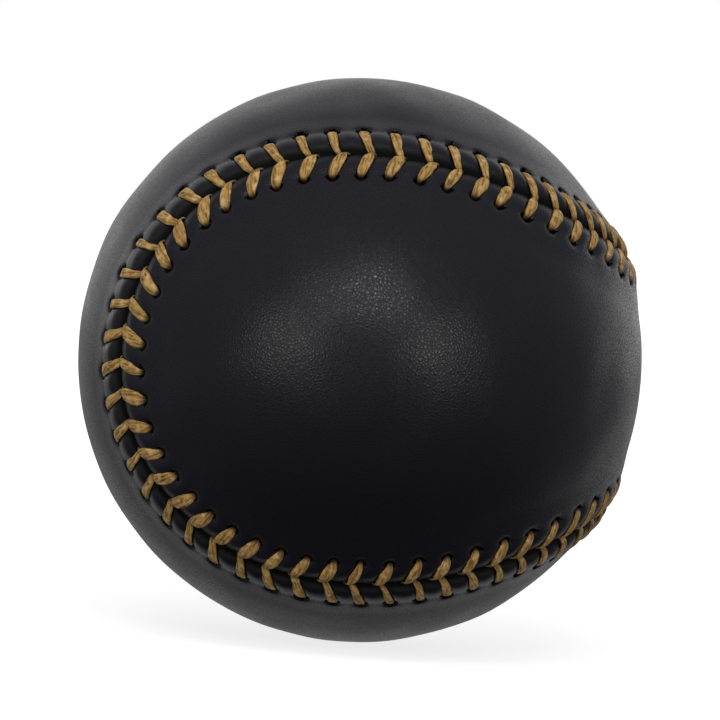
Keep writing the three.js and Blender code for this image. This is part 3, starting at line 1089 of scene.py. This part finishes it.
def winding(name, slot, below, yarn, turns):
    # a hollow core, and over it the last turns of yarn: great circles whose pole spirals from X outwards
    s = windingSet
    outer, inner = outside(name), outside(below) + layerGap
    core = outer - s["coreDepth"] * yarn
    mouth = [math.degrees(math.asin(s["channel"] / radius)) for radius in (core, inner)]
    profile = np.vstack([arc(core, 180, mouth[0], s["steps"]), arc(inner, mouth[1], 180, s["steps"])])
    turn = np.linspace(0, turns, turns * s["perTurn"])
    poleTilt = np.radians(s["poleStart"] + s["poleReach"] * turn / turns)
    poleTurn = np.radians(s["poleStep"]) * turn
    level = np.stack([np.zeros_like(turn), -np.sin(poleTurn), np.cos(poleTurn)], axis=-1)
    pole = np.stack([np.cos(poleTilt), np.sin(poleTilt) * np.cos(poleTurn),
                     np.sin(poleTilt) * np.sin(poleTurn)], axis=-1)
    angle = fullTurn * turn[:, None]
    outward = level * np.cos(angle) + np.cross(pole, level) * np.sin(angle)
    path = outward * (outer - yarn * (s["sunk"] - s["climb"] * turn / turns))[:, None]
    sideways = unit(np.cross(np.gradient(path, axis=0), outward))
    section = flattenedRing(s["sides"], 1, 1) * yarn / 2
    strand = carriedProfile(path, sideways, outward, section)
    makePiece(name, slot, [turnedPart(profile, s["around"]), strand])


for node, yarn in yarns.items():
    winding(node, **yarn)


# Studio: soft boxes round the camera, a surround that is white behind the ball, and a pale floor

lampDistance = 700
warm = (1, 0.94, 0.86)
lampSet = dict(  # each: where it stands as right, up and towards the camera; its size, power and colour
    top=dict(at=(0.00, 0.42, 0.905), size=(480, 100), power=0.32),
    strip=dict(at=(0.117, 0.468, 0.876), size=(80, 5), power=0.15),
    left=dict(at=(-0.45, 0.12, 0.88), size=(320, 210), power=0.335, color=warm),
    right=dict(at=(0.50, 0.08, 0.86), size=(210, 200), power=0.30, color=warm),
    fill=dict(at=(0.00, 0.75, 0.66), size=(500, 300), power=1.7, mirrored=False),
)


def hangLamp(name, at, size, power, color=(1, 1, 1), mirrored=True):
    place = viewAxes @ Vector(at).normalized() * lampDistance * mm
    lamp = bpy.data.lights.new(name + "_soft_box", "AREA")
    lamp.shape = "RECTANGLE"
    lamp.size, lamp.size_y = size[0] * mm, size[1] * mm
    lamp.energy = power
    lamp.color = color
    box = addObject(lamp.name, lamp)
    box.location = place
    box.visible_glossy = mirrored
    box.rotation_euler = place.to_track_quat("Z", "Y").to_euler()


for name, lamp in lampSet.items():
    hangLamp(name, **lamp)

surroundSet = dict(  # the pairs are cosines between which a brightness rises
    above=0.36,
    aboveRise=(-1.0, 0.8),
    dark=0.065,  # under the camera
    behindRise=(-0.05, 0.75),
    highShare=0.66,  # how much of the white behind is left high up
    highFall=(-0.9, -0.2),  # from straight down
    lowShare=0.37,  # how much of it is left in the floor
)


def facing(tree, heading, axis, rise, level):
    # rises from 0 to the level as a heading turns to an axis, between two cosines
    turned = vectorNode(tree, "DOT_PRODUCT", {0: heading, 1: axis})["Value"]
    return mapRange(tree, turned, *rise, 0.0, level)


def studioLevel(tree, heading, share):
    # how bright the studio is to the ball: white behind it, and paler above than at the sides
    s = surroundSet
    behind = facing(tree, heading, -viewAxes.col[2], s["behindRise"], share)
    above = facing(tree, heading, viewAxes.col[1], s["aboveRise"], s["above"])
    return mathNode(tree, "MAXIMUM", mathNode(tree, "ADD", above, s["dark"]), behind)


def paintSurround():
    # white to the camera, and to the ball as bright as the studio
    world = bpy.data.worlds.new("studio")
    bpy.context.scene.world = world
    world.use_nodes = True
    tree = world.node_tree
    tree.nodes.clear()
    heading = shaderNode(tree, "TexCoord").outputs["Generated"]
    high = surroundSet["highShare"]
    lower = facing(tree, heading, -viewAxes.col[1], surroundSet["highFall"], 1 - high)
    level = studioLevel(tree, heading, mathNode(tree, "ADD", lower, high))
    seen = shaderNode(tree, "LightPath").outputs["Is Camera Ray"]
    studio = shaderNode(tree, "Background", {"Strength": level}).outputs[0]
    white = shaderNode(tree, "Background", {"Color": (1, 1, 1, 1), "Strength": 1.0}).outputs[0]
    both = shaderNode(tree, "MixShader", {0: seen, 1: studio, 2: white}).outputs[0]
    shaderNode(tree, "OutputWorld", {"Surface": both})


paintSurround()

floorSet = dict(
    size=6000,
    gray=(0.45, 0.45, 0.45, 1),
    glow=0.80,  # to the camera, at the ball
    shadowEnd=150,  # from the ball's middle to where the floor is as white as the surround
)


def layFloor():
    # a flat square just under the ball: to the camera white, with a shadow at the ball, and in the ball's
    # own sheen as bright as the studio
    finish = bpy.data.materials.new("pale_floor")
    finish.use_nodes = True
    tree = finish.node_tree
    tree.nodes.clear()
    s = floorSet
    flat = vectorNode(tree, "MULTIPLY", {0: objectPlace(tree), 1: (1, 1, 0)})[0]
    off = vectorNode(tree, "LENGTH", {0: flat})["Value"]
    strength = mapRange(tree, off, ballRadius * mm, s["shadowEnd"] * mm, s["glow"], 1.0)
    matt = shaderNode(tree, "BsdfDiffuse", {"Color": s["gray"]}).outputs[0]
    glow = shaderNode(tree, "Emission", {"Color": (1, 1, 1, 1), "Strength": strength}).outputs[0]
    lit = shaderNode(tree, "AddShader", {0: matt, 1: glow}).outputs[0]
    arriving = shaderNode(tree, "NewGeometry").outputs["Incoming"]
    heading = vectorNode(tree, "SCALE", {0: arriving, "Scale": -1.0})[0]
    pale = studioLevel(tree, heading, surroundSet["lowShare"])
    mirrored = shaderNode(tree, "Emission", {"Color": (1, 1, 1, 1), "Strength": pale}).outputs[0]
    rays = shaderNode(tree, "LightPath").outputs
    sheen = shaderNode(tree, "MixShader", {0: rays["Is Glossy Ray"], 1: matt, 2: mirrored}).outputs[0]
    both = shaderNode(tree, "MixShader", {0: rays["Is Camera Ray"], 1: sheen, 2: lit}).outputs[0]
    shaderNode(tree, "OutputMaterial", {"Surface": both})
    half = s["size"] / 2 * mm
    low = min(cadBox[0].z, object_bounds()[0].z)
    mesh = bpy.data.meshes.new("floor")
    corners = [(-half, -half, low), (half, -half, low), (half, half, low), (-half, half, low)]
    mesh.from_pydata(corners, [], [(0, 1, 2, 3)])
    mesh.materials.append(finish)
    floor = addObject("floor", mesh)


layFloor()
bpy.context.scene.view_settings.view_transform = "Standard"
print("studio lit")
